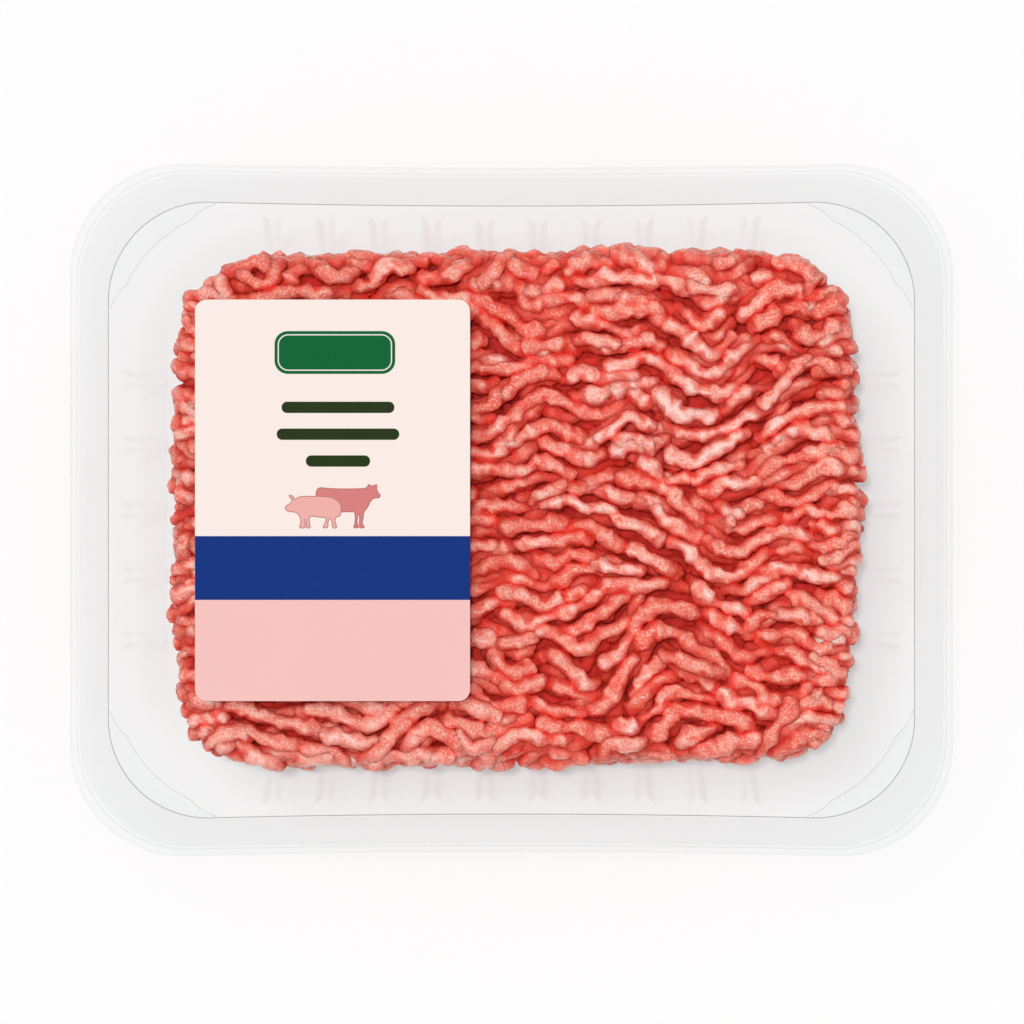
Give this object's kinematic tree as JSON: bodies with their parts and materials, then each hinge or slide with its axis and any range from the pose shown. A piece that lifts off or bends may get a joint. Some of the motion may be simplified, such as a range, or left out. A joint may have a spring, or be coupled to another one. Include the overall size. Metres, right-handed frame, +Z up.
{
  "type": "meat tray pack",
  "caption": "Sealed retail tray of minced meat: a thin clear tray with fluted walls and a wide flange, a block of minced strands inside, clear film on top and a printed paper label.",
  "frame": {"origin": "centre of the tray's underside", "axes": "+X along the tray's long side, with the label at -X, +Y across the tray towards the label's top edge, +Z up through the film"},
  "size_m": [0.227, 0.178, 0.0504],
  "materials": {
    "clear_tray": "thin clear moulded plastic, glossy, faintly milky where it is seen edge on",
    "minced_meat": "moist raw minced meat, pink to red with paler fat",
    "clear_film": "thin clear sealing film, taut and glossy",
    "label_paper": "smooth cream paper label",
    "print_navy": "smooth print",
    "print_rose": "smooth print",
    "print_green": "smooth print",
    "print_ink": "smooth print",
    "print_pig": "smooth print",
    "print_cow": "smooth print"
  },
  "bodies": {
    "root": {"tray": "clear_tray", "mince": "minced_meat", "film": "clear_film", "label": "label_paper", "label_band": "print_navy", "label_panel": "print_rose", "label_badge": "print_green", "label_line_1": "print_ink", "label_line_2": "print_ink", "label_line_3": "print_ink", "label_pig": "print_pig", "label_cow": "print_cow"}
  },
  "joints": []
}
